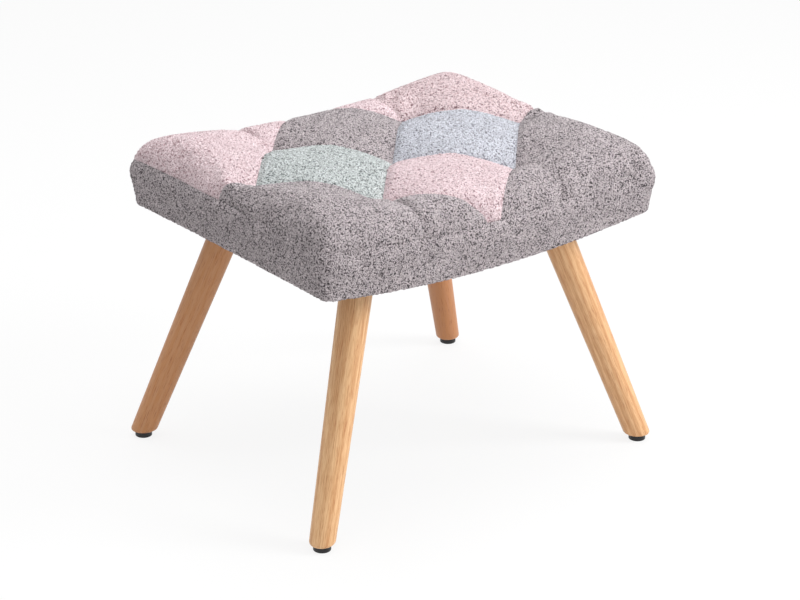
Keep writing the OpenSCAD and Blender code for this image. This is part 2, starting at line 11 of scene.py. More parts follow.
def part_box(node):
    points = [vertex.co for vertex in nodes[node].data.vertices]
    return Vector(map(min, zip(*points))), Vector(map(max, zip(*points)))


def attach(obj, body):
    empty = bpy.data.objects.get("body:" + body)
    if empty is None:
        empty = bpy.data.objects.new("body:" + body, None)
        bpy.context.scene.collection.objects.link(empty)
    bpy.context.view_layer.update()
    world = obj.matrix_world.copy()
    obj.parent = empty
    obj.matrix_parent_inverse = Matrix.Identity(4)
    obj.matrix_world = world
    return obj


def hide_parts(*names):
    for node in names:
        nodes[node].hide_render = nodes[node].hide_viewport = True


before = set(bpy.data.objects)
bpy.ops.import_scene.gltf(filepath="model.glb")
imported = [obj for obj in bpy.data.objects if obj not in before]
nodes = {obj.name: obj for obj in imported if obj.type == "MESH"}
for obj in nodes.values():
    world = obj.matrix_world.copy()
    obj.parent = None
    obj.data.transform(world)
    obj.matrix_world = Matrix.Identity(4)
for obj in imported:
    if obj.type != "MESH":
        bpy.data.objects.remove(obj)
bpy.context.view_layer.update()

# The camera stands in front of the stool's left corner, a little above the seat, where the photograph
# was taken with a long lens.
camera_azimuth = math.radians(-38.0)
camera_elevation = math.radians(22.654)
camera_roll = math.radians(0.5016)
camera_place = Vector((-2.0084, -2.5902, 1.5795))
camera_lens_mm = 114.2

camera = bpy.data.objects.new("camera", bpy.data.cameras.new("camera"))
camera.data.lens = camera_lens_mm
camera_back = Vector((
    math.sin(camera_azimuth) * math.cos(camera_elevation),
    -math.cos(camera_azimuth) * math.cos(camera_elevation),
    math.sin(camera_elevation),
))
camera_right = Vector((0, 0, 1)).cross(camera_back).normalized()
turn = Matrix((camera_right, camera_back.cross(camera_right), camera_back)).transposed().to_4x4()
roll = Matrix.Rotation(camera_roll, 4, "Z")
camera.matrix_world = Matrix.Translation(camera_place) @ turn @ roll
bpy.context.scene.collection.objects.link(camera)
bpy.context.scene.camera = camera

# The seat frame is glued and screwed from sawn pine rails and battens. The grain of each board runs along
# its length, as fine dark lines with broader warm bands between them.
footstool = "footstool"
pine_light = (226, 196, 150)
pine_dark = (190, 146, 96)
pine_streak_width = 0.006
sawn_depth = 0.0001
band_weight = 0.34
streak_weight = 0.45
waver_weight = 0.2
pore_weight = 0.5
# How far each part of the grain is drawn out: the third number, along the board, is small
band_stretch = (0.5, 0.5, 0.035)
streak_stretch = (4, 4, 0.16)
pore_stretch = (7, 7, 0.45)


def paint(red, green, blue):
    """A colour given as 0 to 255 on a screen, as the linear value that a shader takes."""
    shares = [channel / 255 for channel in (red, green, blue)]
    linear = [s / 12.92 if s <= 0.04045 else ((s + 0.055) / 1.055) ** 2.4 for s in shares]
    return (*linear, 1.0)


def add(tree, kind, sources=None, **settings):
    """Adds a shader node, sets it, and feeds its sockets from other sockets or with plain values."""
    node = tree.nodes.new(kind)
    for setting, value in settings.items():
        setattr(node, setting, value)
    for socket, source in (sources or {}).items():
        if isinstance(source, bpy.types.NodeSocket):
            tree.links.new(source, node.inputs[socket])
        else:
            node.inputs[socket].default_value = source
    return node


def maths(tree, operation, first, second=0.0):
    return add(tree, "ShaderNodeMath", {0: first, 1: second}, operation=operation).outputs[0]


def ramp(tree, value, low, high, to_low=0.0, to_high=1.0):
    """Maps a value smoothly from one range to another."""
    sources = {"Value": value, "From Min": low, "From Max": high, "To Min": to_low, "To Max": to_high}
    return add(tree, "ShaderNodeMapRange", sources, interpolation_type="SMOOTHSTEP").outputs["Result"]


def blend_colours(tree, share, first, second, blend="MIX"):
    sources = {0: share, 6: first, 7: second}
    mix = add(tree, "ShaderNodeMix", sources, data_type="RGBA", blend_type=blend)
    return mix.outputs[2]


def new_effect(name, inputs, outputs):
    """An empty node group with named inputs and outputs."""
    group = bpy.data.node_groups.new(name, "ShaderNodeTree")
    for label, kind in inputs:
        group.interface.new_socket(label, in_out="INPUT", socket_type=kind)
    for label, kind in outputs:
        group.interface.new_socket(label, in_out="OUTPUT", socket_type=kind)
    return group, group.nodes.new("NodeGroupInput").outputs, group.nodes.new("NodeGroupOutput").inputs


def new_finish(name, **constants):
    """A material with a plain shader, whose even values are set on the shader's own sockets."""
    material = bpy.data.materials.new(name)
    material.use_nodes = True
    shader = material.node_tree.nodes["Principled BSDF"]
    for socket, value in constants.items():
        shader.inputs[socket.replace("_", " ")].default_value = value
    return material, material.node_tree, shader


def feed_effect(tree, group, sources):
    """Places an effect's group and feeds its named inputs."""
    return add(tree, "ShaderNodeGroup", sources, node_tree=group)


def wear_finish(tree, shader, effect, depth):
    """Joins an effect's colour, roughness and height to the shader."""
    tree.links.new(effect.outputs["Colour"], shader.inputs["Base Color"])
    tree.links.new(effect.outputs["Roughness"], shader.inputs["Roughness"])
    bump = add(tree, "ShaderNodeBump", {"Height": effect.outputs["Height"], "Distance": depth})
    tree.links.new(bump.outputs["Normal"], shader.inputs["Normal"])


FLOAT, COLOUR, VECTOR = "NodeSocketFloat", "NodeSocketColor", "NodeSocketVector"

wood_grain, given, made = new_effect(
    "wood_grain",
    [("Place", VECTOR), ("Light wood", COLOUR), ("Dark wood", COLOUR), ("Streak width", FLOAT)],
    [("Colour", COLOUR), ("Roughness", FLOAT), ("Height", FLOAT)],
)
# The place is given with the grain along Z, so a pattern squeezed in Z makes lines along the board
in_widths = add(wood_grain, "ShaderNodeVectorMath", {0: given["Place"]}, operation="SCALE")
wood_grain.links.new(maths(wood_grain, "DIVIDE", 1.0, given["Streak width"]), in_widths.inputs["Scale"])
slow = add(wood_grain, "ShaderNodeMapping", {"Vector": in_widths.outputs[0], "Scale": band_stretch})
waver = add(wood_grain, "ShaderNodeTexNoise", {"Vector": slow.outputs[0], "Scale": 1.0, "Detail": 3.0})
bands = add(
    wood_grain, "ShaderNodeTexWave",
    {"Vector": slow.outputs[0], "Scale": 0.55, "Distortion": 5.0, "Detail": 3.0, "Detail Scale": 1.3},
    bands_direction="X",
)
streaks_place = add(
    wood_grain, "ShaderNodeMapping", {"Vector": in_widths.outputs[0], "Scale": streak_stretch})
streaks = add(
    wood_grain, "ShaderNodeTexNoise",
    {"Vector": streaks_place.outputs[0], "Scale": 1.6, "Detail": 5.0, "Roughness": 0.65},
)
pores_place = add(wood_grain, "ShaderNodeMapping", {"Vector": in_widths.outputs[0], "Scale": pore_stretch})
pores = add(wood_grain, "ShaderNodeTexNoise", {"Vector": pores_place.outputs[0], "Scale": 1.0, "Detail": 2.0})
pore_mask = ramp(wood_grain, pores.outputs["Fac"], low=0.55, high=0.72)
streak_mask = ramp(wood_grain, streaks.outputs["Fac"], low=0.38, high=0.66)
band_share = maths(wood_grain, "MULTIPLY", bands.outputs["Fac"], band_weight)
streak_share = maths(wood_grain, "MULTIPLY", streak_mask, streak_weight)
waver_share = maths(wood_grain, "MULTIPLY", waver.outputs["Fac"], waver_weight)
darkness = maths(wood_grain, "ADD", maths(wood_grain, "ADD", band_share, streak_share), waver_share)
darkness = maths(wood_grain, "MINIMUM", darkness, 1.0)
plain_wood = blend_colours(wood_grain, darkness, given["Light wood"], given["Dark wood"])
pore_share = maths(wood_grain, "MULTIPLY", pore_mask, pore_weight)
pored = blend_colours(wood_grain, pore_share, plain_wood, given["Dark wood"], "MULTIPLY")
wood_grain.links.new(pored, made["Colour"])
wood_roughness = ramp(wood_grain, streaks.outputs["Fac"], low=0.2, high=0.8, to_low=0.40, to_high=0.56)
wood_grain.links.new(wood_roughness, made["Roughness"])
wood_grain.links.new(maths(wood_grain, "SUBTRACT", streaks.outputs["Fac"], pore_mask), made["Height"])


def timber(name, light, dark, streak_width, turn_to_z, depth):
    """Sawn wood whose grain runs along the direction that the turn brings to Z."""
    material, tree, shader = new_finish(name, IOR=1.45)
    place = add(tree, "ShaderNodeTexCoord").outputs["Object"]
    turned = add(tree, "ShaderNodeMapping", {"Vector": place, "Rotation": turn_to_z}).outputs[0]
    grain = feed_effect(tree, wood_grain, {
        "Place": turned, "Light wood": paint(*light), "Dark wood": paint(*dark),
        "Streak width": streak_width,
    })
    wear_finish(tree, shader, grain, depth)
    return material


def finish_node(node, material):
    """Gives a CAD node one material."""
    slots = nodes[node].data.materials
    slots.clear()
    slots.append(material)


quarter_turn = math.pi / 2
lengthwise = (0, quarter_turn, 0)
crosswise = (quarter_turn, 0, 0)
pine_lengthwise = timber("pine_lengthwise", pine_light, pine_dark, pine_streak_width, lengthwise, sawn_depth)
pine_crosswise = timber("pine_crosswise", pine_light, pine_dark, pine_streak_width, crosswise, sawn_depth)
for board in ("front_rail", "back_rail"):
    finish_node(board, pine_lengthwise)
for board in ("left_rail", "right_rail", "left_leg_batten", "right_leg_batten"):
    finish_node(board, pine_crosswise)

# The deck that carries the pad is a sheet of birch plywood. It is sanded, bent over the rails to their
# curve, glued and screwed down.
plywood_light = (228, 204, 164)
plywood_dark = (202, 170, 124)
plywood_streak_width = 0.009
sanded_depth = 0.00005
finish_node("seat_deck", timber(
    "birch_plywood", plywood_light, plywood_dark, plywood_streak_width, lengthwise, sanded_depth))

# Screws, tee nuts, hanger bolts, staples and the studs of the glides are steel with a thin zinc plating,
# cold blue-grey with cloudy patches and fine turning marks.
zinc_bright = (206, 208, 212)
zinc_dull = (168, 171, 178)
turning_mark_size = 0.0012
turning_mark_depth = 0.00003
metal_surface, given, made = new_effect(
    "plated_metal",
    [("Place", VECTOR), ("Bright", COLOUR), ("Dull", COLOUR), ("Mark size", FLOAT)],
    [("Colour", COLOUR), ("Roughness", FLOAT), ("Height", FLOAT)],
)
in_marks = add(metal_surface, "ShaderNodeVectorMath", {0: given["Place"]}, operation="SCALE")
metal_surface.links.new(maths(metal_surface, "DIVIDE", 1.0, given["Mark size"]), in_marks.inputs["Scale"])
clouds = add(
    metal_surface, "ShaderNodeTexNoise", {"Vector": in_marks.outputs[0], "Scale": 0.4, "Detail": 4.0})
marks_place = add(metal_surface, "ShaderNodeMapping", {"Vector": in_marks.outputs[0], "Scale": (1, 1, 8)})
marks = add(
    metal_surface, "ShaderNodeTexNoise", {"Vector": marks_place.outputs[0], "Scale": 1.0, "Detail": 3.0})
cloudy = ramp(metal_surface, clouds.outputs["Fac"], low=0.35, high=0.65)
metal_surface.links.new(
    blend_colours(metal_surface, cloudy, given["Bright"], given["Dull"]), made["Colour"])
metal_roughness = ramp(metal_surface, marks.outputs["Fac"], low=0.3, high=0.7, to_low=0.24, to_high=0.42)
metal_surface.links.new(metal_roughness, made["Roughness"])
metal_surface.links.new(marks.outputs["Fac"], made["Height"])


def plated(name, bright, dull):
    material, tree, shader = new_finish(name, Metallic=1.0)
    place = add(tree, "ShaderNodeTexCoord").outputs["Object"]
    surface = feed_effect(tree, metal_surface, {
        "Place": place, "Bright": paint(*bright), "Dull": paint(*dull), "Mark size": turning_mark_size,
    })
    wear_finish(tree, shader, surface, turning_mark_depth)
    return material


corner_names = ["front_left", "front_right", "back_left", "back_right"]
zinc_steel = plated("zinc_steel", zinc_bright, zinc_dull)
for group in ["frame_screws", "deck_screws", "tee_nuts", "hanger_bolts", "staples"]:
    finish_node(group, zinc_steel)
for corner in corner_names:
    finish_node("glide_stud_" + corner, zinc_steel)

# The threaded inserts in the feet are turned brass. Each is screwed into the end grain of its leg and takes
# the stud of a glide.
brass_bright = (214, 178, 96)
brass_dull = (178, 140, 70)
finish_node("glide_inserts", plated("turned_brass", brass_bright, brass_dull))

# The glides are black nylon pads, moulded with a satin skin and a little scuffed. The washers that hold the
# tufts' knots under the deck are moulded from the same nylon.
nylon_black = (15, 14, 16)
nylon_scuffed = (38, 37, 39)
pebble_size = 0.0007
pebble_depth = 0.00005
moulded_skin, given, made = new_effect(
    "moulded_skin",
    [("Place", VECTOR), ("Plain", COLOUR), ("Scuffed", COLOUR), ("Grain size", FLOAT)],
    [("Colour", COLOUR), ("Roughness", FLOAT), ("Height", FLOAT)],
)
in_grains = add(moulded_skin, "ShaderNodeVectorMath", {0: given["Place"]}, operation="SCALE")
moulded_skin.links.new(maths(moulded_skin, "DIVIDE", 1.0, given["Grain size"]), in_grains.inputs["Scale"])
pebbles = add(moulded_skin, "ShaderNodeTexVoronoi", {"Vector": in_grains.outputs[0], "Scale": 1.0})
scuffs = add(
    moulded_skin, "ShaderNodeTexNoise", {"Vector": in_grains.outputs[0], "Scale": 0.12, "Detail": 6.0})
scuffed = ramp(moulded_skin, scuffs.outputs["Fac"], low=0.55, high=0.75)
moulded_skin.links.new(
    blend_colours(moulded_skin, scuffed, given["Plain"], given["Scuffed"]), made["Colour"])
skin_roughness = ramp(moulded_skin, scuffs.outputs["Fac"], low=0.4, high=0.7, to_low=0.38, to_high=0.62)
moulded_skin.links.new(skin_roughness, made["Roughness"])
moulded_skin.links.new(pebbles.outputs["Distance"], made["Height"])
black_nylon, tree, shader = new_finish("black_nylon", IOR=1.5)
place = add(tree, "ShaderNodeTexCoord").outputs["Object"]
nylon_surface = feed_effect(tree, moulded_skin, {
    "Place": place, "Plain": paint(*nylon_black), "Scuffed": paint(*nylon_scuffed), "Grain size": pebble_size,
})
wear_finish(tree, shader, nylon_surface, pebble_depth)
for corner in corner_names:
    finish_node("glide_pad_" + corner, black_nylon)
finish_node("tuft_washers", black_nylon)

# Each leg is one turned and tapered piece of oak, cut level under the batten and at the foot, with the
# foot's edge rounded over by hand. A hanger bolt holds its top and a brass insert its glide.
oak_light = (250, 207, 156)
# The second tone is painted shade: a darker, redder oak for the legs that stand away from the key light
oak_painted_shade = (190, 130, 88)
oak_dark = (196, 132, 78)
oak_streak_width = 0.0075
oak_pore_depth = 0.00012
# How far each leg's wood is painted darker and redder as shade, most on the back legs away from the key light
painted_shade_shares = {"front_left": 0.0, "front_right": 0.15, "back_left": 0.8, "back_right": 1.0}
leg_top_radius = 0.0225
leg_foot_radius = 0.0175
leg_top_x = 0.162
leg_top_y = 0.141
foot_rounding = 0.0045
leg_segments = 96
leg_ring_cuts = 7
rounding_steps = 5
same_level = 1e-6
# Each leg is cut from another part of the plank, so its grain starts this much further on
plank_step = Vector((0.31, 0.17, 0.7))
bolt_radius = 0.0041
bolt_depth = 0.030
insert_radius = 0.0051
insert_depth = 0.013
stud_radius = 0.0035
stud_depth = 0.030
bore_overrun = 0.005
bore_segments = 48


def oak_finish():
    """Oiled oak, with the grain read from the place that each leg carries along its own axis."""
    material, tree, shader = new_finish("oiled_oak", IOR=1.46, Coat_Weight=0.12, Coat_Roughness=0.3)
    place = add(tree, "ShaderNodeAttribute", attribute_name="leg_place").outputs["Vector"]
    # Each leg's share of painted shade darkens its light wood towards the redder tone
    leg_shade_share = add(tree, "ShaderNodeAttribute", attribute_name="leg_painted_shade").outputs["Fac"]
    grain = feed_effect(tree, wood_grain, {
        "Place": place, "Light wood": blend_colours(tree, leg_shade_share, paint(*oak_light), paint(*oak_painted_shade)),
        "Dark wood": paint(*oak_dark), "Streak width": oak_streak_width,
    })
    wear_finish(tree, shader, grain, oak_pore_depth)
    return material


def new_piece(name, bm, material, smooth=True):
    """A finished mesh as an object at the origin."""
    mesh = bpy.data.meshes.new(name)
    bm.to_mesh(mesh)
    bm.free()
    mesh.materials.append(material)
    mesh.polygons.foreach_set("use_smooth", [smooth] * len(mesh.polygons))
    piece = bpy.data.objects.new(name, mesh)
    bpy.context.scene.collection.objects.link(piece)
    return piece


def apply_modifiers(piece):
    """Replaces a piece's mesh by what its modifiers make of it."""
    view = bpy.context.evaluated_depsgraph_get()
    mesh = bpy.data.meshes.new_from_object(piece.evaluated_get(view), depsgraph=view)
    piece.modifiers.clear()
    piece.data = mesh


def bore(piece, bores):
    """Cuts round holes, each given as lowest point, top and radius, along Z."""
    cutters = []
    for low, high, radius in bores:
        tool = bmesh.new()
        bmesh.ops.create_cone(
            tool, cap_ends=True, segments=bore_segments, radius1=radius, radius2=radius, depth=high.z - low.z,
            matrix=Matrix.Translation((low + high) / 2))
        cutters.append(new_piece("bore_cutter", tool, piece.data.materials[0], smooth=False))
        cut = piece.modifiers.new("bore", "BOOLEAN")
        cut.operation = "DIFFERENCE"
        cut.solver = "EXACT"
        cut.object = cutters[-1]
    apply_modifiers(piece)
    for cutter in cutters:
        bpy.data.objects.remove(cutter)


def leg_ends(corner):
    """The middles of a leg's foot and head. The foot stands on its glide."""
    low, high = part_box("leg_" + corner)
    pad_low, pad_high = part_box("glide_pad_" + corner)
    foot = Vector(((pad_low.x + pad_high.x) / 2, (pad_low.y + pad_high.y) / 2, low.z))
    head = Vector((math.copysign(leg_top_x, foot.x), math.copysign(leg_top_y, foot.y), high.z))
    return foot, head


oiled_oak = oak_finish()
for number, corner in enumerate(corner_names):
    foot, head = leg_ends(corner)
    axis = head - foot
    overrun = leg_top_radius
    length = axis.length + 2 * overrun
    flare = (leg_top_radius - leg_foot_radius) / axis.length * overrun
    leg = bmesh.new()
    bmesh.ops.create_cone(
        leg, cap_ends=True, segments=leg_segments,
        radius1=leg_foot_radius - flare, radius2=leg_top_radius + flare, depth=length)
    bmesh.ops.subdivide_edges(
        leg, edges=[e for e in leg.edges if abs(e.verts[0].co.z - e.verts[1].co.z) > length / 2],
        cuts=leg_ring_cuts)
    leg_place = leg.verts.layers.float_vector.new("leg_place")
    leg_painted_shade = leg.verts.layers.float.new("leg_painted_shade")
    upright = axis.to_track_quat("Z", "X").to_matrix().to_4x4()
    lie = Matrix.Translation((foot + head) / 2) @ upright
    bmesh.ops.transform(leg, matrix=lie, verts=leg.verts)
    for level, clear in ((foot.z, "below"), (head.z, "above")):
        cut = bmesh.ops.bisect_plane(
            leg, geom=[*leg.verts, *leg.edges, *leg.faces], plane_co=(0, 0, level), plane_no=(0, 0, 1),
            clear_inner=clear == "below", clear_outer=clear == "above")
        bmesh.ops.edgeloop_fill(leg, edges=[e for e in cut["geom_cut"] if isinstance(e, bmesh.types.BMEdge)])
    bmesh.ops.recalc_face_normals(leg, faces=leg.faces)
    rim = [e for e in leg.edges if all(abs(v.co.z - foot.z) < same_level for v in e.verts)]
    bmesh.ops.bevel(
        leg, geom=rim, offset=foot_rounding, segments=rounding_steps, affect="EDGES", profile=0.5,
        material=-1)
    to_own_axis = lie.inverted()
    for vert in leg.verts:
        vert[leg_place] = to_own_axis @ vert.co + number * plank_step
        vert[leg_painted_shade] = painted_shade_shares[corner]
    piece = new_piece("oak_leg_" + corner, leg, oiled_oak)
    bore(piece, [
        (foot - Vector((0, 0, bore_overrun)), foot + Vector((0, 0, insert_depth)), insert_radius),
        (foot, foot + Vector((0, 0, stud_depth)), stud_radius),
        (head - Vector((0, 0, bolt_depth)), head + Vector((0, 0, bore_overrun)), bolt_radius),
    ])
    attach(piece, footstool)
    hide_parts("leg_" + corner)

# The tufts are held by waxed twine of several plies. It goes down through the pad and the deck and is
# knotted under a washer.
# The hollows between the plies are painted darker as shade
twine_hollow_shade = (150, 138, 116)
twine_crest = (214, 202, 176)
ply_depth = 0.0003
waxed_twine, tree, shader = new_finish("waxed_twine", IOR=1.45)
place = add(tree, "ShaderNodeTexCoord").outputs["Object"]
lay = add(tree, "ShaderNodeMapping", {"Vector": place, "Rotation": (0.6, 0.6, 0), "Scale": (1, 1, 2.5)})
plies = add(
    tree, "ShaderNodeTexWave", {"Vector": lay.outputs[0], "Scale": 260.0, "Distortion": 0.6},
    bands_direction="Z")
strand = blend_colours(tree, plies.outputs["Fac"], paint(*twine_hollow_shade), paint(*twine_crest))
tree.links.new(strand, shader.inputs["Base Color"])
waxiness = ramp(tree, plies.outputs["Fac"], low=0, high=1, to_low=0.8, to_high=0.6)
tree.links.new(waxiness, shader.inputs["Roughness"])
bump = add(tree, "ShaderNodeBump", {"Height": plies.outputs["Fac"], "Distance": ply_depth})
tree.links.new(bump.outputs["Normal"], shader.inputs["Normal"])
finish_node("tuft_twines", waxed_twine)

# The cover is looped woollen cloth over the pad. Its form is made as one closed skin: a grid for the top,
# drawn down over the sides and turned under the frame, then swelled by a cloth simulation.
half_length = 0.280
half_width = 0.225
underside = 0.333
end_rise = 0.021
side_height = 0.063
corner_radius = 0.015
low_corner_sharpness = 0.3
side_lean = 0.002
side_bulge = 0.0055
side_height_of_bulge_share = 0.7
hem_drop = 0.0028
side_waist = 0.003
tuft_height = 0.018
puff_height = 0.0245
roll_width = 0.033
corner_fullness = 1.2
fade_width = 0.055
seam_share = 0.75
edge_level = 0.75
corner_swell = 0.005
corner_swell_x = 0.20
corner_swell_y = 0.165
corner_swell_width = 0.055
tuft_dx = 0.114
tuft_dy = 0.125
# Outside the last tufts the seams run more steeply to the ends, and meet just over the front and back edges.
# The pleats from the corner tufts run nearly straight to the front and back.
outer_dx = 0.371
outer_dy = 0.107
pleat_lean = 0.004
longest_pleat = 0.97
cloth_thickness = 0.003
turned_under = 0.026
# How much closer the grid lines stand at the edges, and how fast the lean and the hem's drop fade upwards
edge_crowding = 0.25
lean_fade = 1.5
hem_fade = 2
saddle_radius = (half_length ** 2 + end_rise ** 2) / (2 * end_rise)
core_x = half_length - corner_radius
core_y = half_width - corner_radius
tufts = [(0, 0), (-1, -1), (1, -1), (-1, 1), (1, 1), (-2, 0), (2, 0)]


def bow(x):
    """Rise of the saddle curve above its middle."""
    return saddle_radius - math.sqrt(saddle_radius ** 2 - x * x)


def rolled(depth, width):
    """Share of full height across a rounded edge of this width, at a distance inside the top seam."""
    return 1.0 if depth >= width else math.sqrt(max(0.0, 1 - (1 - max(0.0, depth) / width) ** 2))


def rounded_edge(depth_x, depth_y, width):
    """Share of full height where two rounded edges meet at a corner, which is rounded too."""
    lacks = (1 - rolled(depth_x, width)) ** corner_fullness + (1 - rolled(depth_y, width)) ** corner_fullness
    return max(0.0, 1 - lacks ** (1 / corner_fullness))


def spread(distance, spacing, last_tuft, outer_spacing):
    """Counts the lattice lines up to a distance, whose spacing changes outside the last tuft."""
    inner = min(abs(distance), last_tuft)
    return math.copysign(inner / spacing + (abs(distance) - inner) / outer_spacing, distance)


def gathered(lines, spacing, last_tuft, outer_spacing):
    """The distance at which a count of lattice lines is reached."""
    inner = min(abs(lines) * spacing, last_tuft)
    return math.copysign(inner + (abs(lines) - inner / spacing) * outer_spacing, lines)


def pleat_knots(b):
    """Counts of lines along the seat beside the straight pleats, and how far out each lies."""
    past = max(0.0, min(longest_pleat, abs(b) - 1))
    return [0, 1, 1 + past, 2], [0, tuft_dx, tuft_dx + pleat_lean * past, 2 * tuft_dx]


def in_lattice(x, y):
    """A place on the seat as counts of tufts along and across it."""
    b = spread(y, tuft_dy, tuft_dy, outer_dy)
    lines, distances = pleat_knots(b)
    if abs(b) <= 1 or abs(x) >= 2 * tuft_dx:
        return spread(x, tuft_dx, 2 * tuft_dx, outer_dx), b
    return math.copysign(np.interp(abs(x), distances, lines), x), b


def from_lattice(a, b):
    """The place on the seat at counts of tufts along and across it."""
    y = gathered(b, tuft_dy, tuft_dy, outer_dy)
    lines, distances = pleat_knots(b)
    if abs(b) <= 1 or abs(a) >= 2:
        return gathered(a, tuft_dx, 2 * tuft_dx, outer_dx), y
    return math.copysign(np.interp(abs(a), lines, distances), a), y


def swell(puffs):
    """Rise from a seam to the middle of the puffs beside it."""
    return abs(math.sin(math.pi * puffs))


def eased(share):
    """A share that starts and ends gently."""
    return share * share * (3 - 2 * share)


def top_height(x, y):
    """Height of the cover over the level of its underside."""
    depth_x = half_length - abs(x)
    depth_y = half_width - abs(y)
    a, b = in_lattice(x, y)
    level = 1 - (1 - seam_share * swell((a + b) / 2)) * (1 - seam_share * swell((a - b) / 2))
    # The seams grow shallow beyond the last tufts, and are level with the puffs at the edges
    deep_x = min(1.0, depth_x / (half_length - 2 * tuft_dx))
    deep_y = min(1.0, depth_y / (half_width - tuft_dy))
    deep = eased(deep_x) * eased(deep_y)
    puff = puff_height * (edge_level + (level - edge_level) * deep)
    away = math.hypot(abs(x) - corner_swell_x, abs(y) - corner_swell_y)
    puff += corner_swell * math.exp(-(away / corner_swell_width) ** 2)
    roll = tuft_height * rounded_edge(depth_x, depth_y, roll_width)
    return side_height + roll + puff * rounded_edge(depth_x, depth_y, fade_width)


def crowded(share):
    """Spreads grid lines so that they stand closer towards the edge."""
    return share * (1 + edge_crowding - edge_crowding * share * share)


def core_of(x, y):
    """The point that the outline turns round here."""
    return max(-core_x, min(core_x, x)), max(-core_y, min(core_y, y))


def round_corner(x, y):
    """Moves a point of a square corner onto the round one."""
    centre_x, centre_y = core_of(x, y)
    out = Vector((x - centre_x, y - centre_y))
    if out.length > 0:
        out *= max(abs(out.x), abs(out.y)) / out.length
    return centre_x + out.x, centre_y + out.y


def drawn_in(place):
    """Draws the sides in between the corners and lays the form over the saddle curve."""
    x = place.x * (1 - side_waist / half_length * (1 - (place.y / half_width) ** 2))
    y = place.y * (1 - side_waist / half_width * (1 - (place.x / half_length) ** 2))
    return Vector((x, y, place.z + underside + bow(x)))


fine_step = 0.005
grid_step = fine_step
TOP, FRONT, BACK, LEFT, RIGHT, CLOSING = range(6)
cover = bmesh.new()
part_of = cover.faces.layers.int.new("part")
outline_of = cover.verts.layers.float_vector.new("outline")
bmesh.ops.create_grid(
    cover, x_segments=round(2 * half_length / grid_step), y_segments=round(2 * half_width / grid_step),
    size=1)
for vert in cover.verts:
    x, y = round_corner(half_length * crowded(vert.co.x), half_width * crowded(vert.co.y))
    vert.co = (x, y, top_height(x, y))
    vert[outline_of] = (x, y, 0)


def rim_of(bm):
    return [edge for edge in bm.edges if edge.is_boundary]


def side_of(place):
    """The band that a place on the outline belongs to. They are parted at the middle of each corner."""
    past_end = abs(place.x) - half_length
    past_side = abs(place.y) - half_width
    if past_side > past_end:
        return FRONT if place.y < 0 else BACK
    return LEFT if place.x < 0 else RIGHT


side_steps = round(side_height / grid_step)
under_steps = round((turned_under - side_lean) / grid_step)
# The bulge follows a sine, whose crest lies halfway up, and this power moves the crest to its own height
bulge_power = math.log(0.5) / math.log(side_height_of_bulge_share)
side_shares = [1 - (i + 1) / side_steps for i in range(side_steps)]
under_shares = [(i + 1) / under_steps for i in range(under_steps)]
# Each ring has its inset from the outline, its height, how far it is mitred in, and its corners' sharpness
side_rings = [
    (side_lean * max(0.0, 1 - lean_fade * share) ** 2 - side_bulge * math.sin(math.pi * share ** bulge_power),
     side_height * share - hem_drop * max(0.0, 1 - hem_fade * share) ** 2,
     0.0,
     low_corner_sharpness * (1 - share))
    for share in side_shares
]
under_rings = [
    (side_lean,
     -hem_drop * (1 - share),
     (turned_under - side_lean) * share,
     low_corner_sharpness * (1 - share))
    for share in under_shares
]
top_faces = set(cover.faces)
for inset, height, turned_in, sharpness in side_rings + under_rings:
    bmesh.ops.extrude_edge_only(cover, edges=rim_of(cover))
    for vert in {v for edge in rim_of(cover) for v in edge.verts}:
        x, y, _ = vert[outline_of]
        centre_x, centre_y = core_of(x, y)
        # What is turned under is mitred at the corners, so there it goes in less far
        reach = corner_radius - cloth_thickness / 2 + (core_x - abs(centre_x)) + (core_y - abs(centre_y))
        mitred = turned_in * (min(turned_under, reach) - side_lean) / (turned_under - side_lean)
        out = Vector((x - centre_x, y - centre_y)).normalized()
        squarer = 1 + sharpness * (1 / max(abs(out.x), abs(out.y)) - 1)
        out *= (corner_radius - mitred) * squarer - inset
        vert.co = (centre_x + out.x, centre_y + out.y, height)
for face in cover.faces:
    if face not in top_faces:
        middle = sum((vert[outline_of] for vert in face.verts), Vector()) / len(face.verts)
        face[part_of] = side_of(middle)
for vert in cover.verts:
    vert.co = drawn_in(vert.co)
closing = bmesh.ops.contextual_create(cover, geom=rim_of(cover))["faces"]
for face in closing:
    face[part_of] = CLOSING
bmesh.ops.recalc_face_normals(cover, faces=cover.faces)

# The closed skin is blown up a little against its tufts, which are held fast, so that the cloth strains and
# gathers between them as it does over real wadding.
swell_pressure = 4.0
swell_frames = 20
swell_limit = 0.008
held_radius = 0.007
looser_cloth = -0.02
held_loosely = 0.05
stapled_height = 0.010
loosening_height = 0.030


def held_share(place):
    """How firmly the cloth is held: at the tufts, and below, where it is stapled to the frame."""
    height = place.z - underside - bow(place.x)
    if height < side_height:
        loosened = min(1.0, max(0.0, height - stapled_height) / loosening_height)
        return 1.0 - (1.0 - held_loosely) * loosened
    nearest = min(math.hypot(place.x - a * tuft_dx, place.y - b * tuft_dy) for a, b in tufts)
    return 1.0 if nearest < held_radius else held_loosely


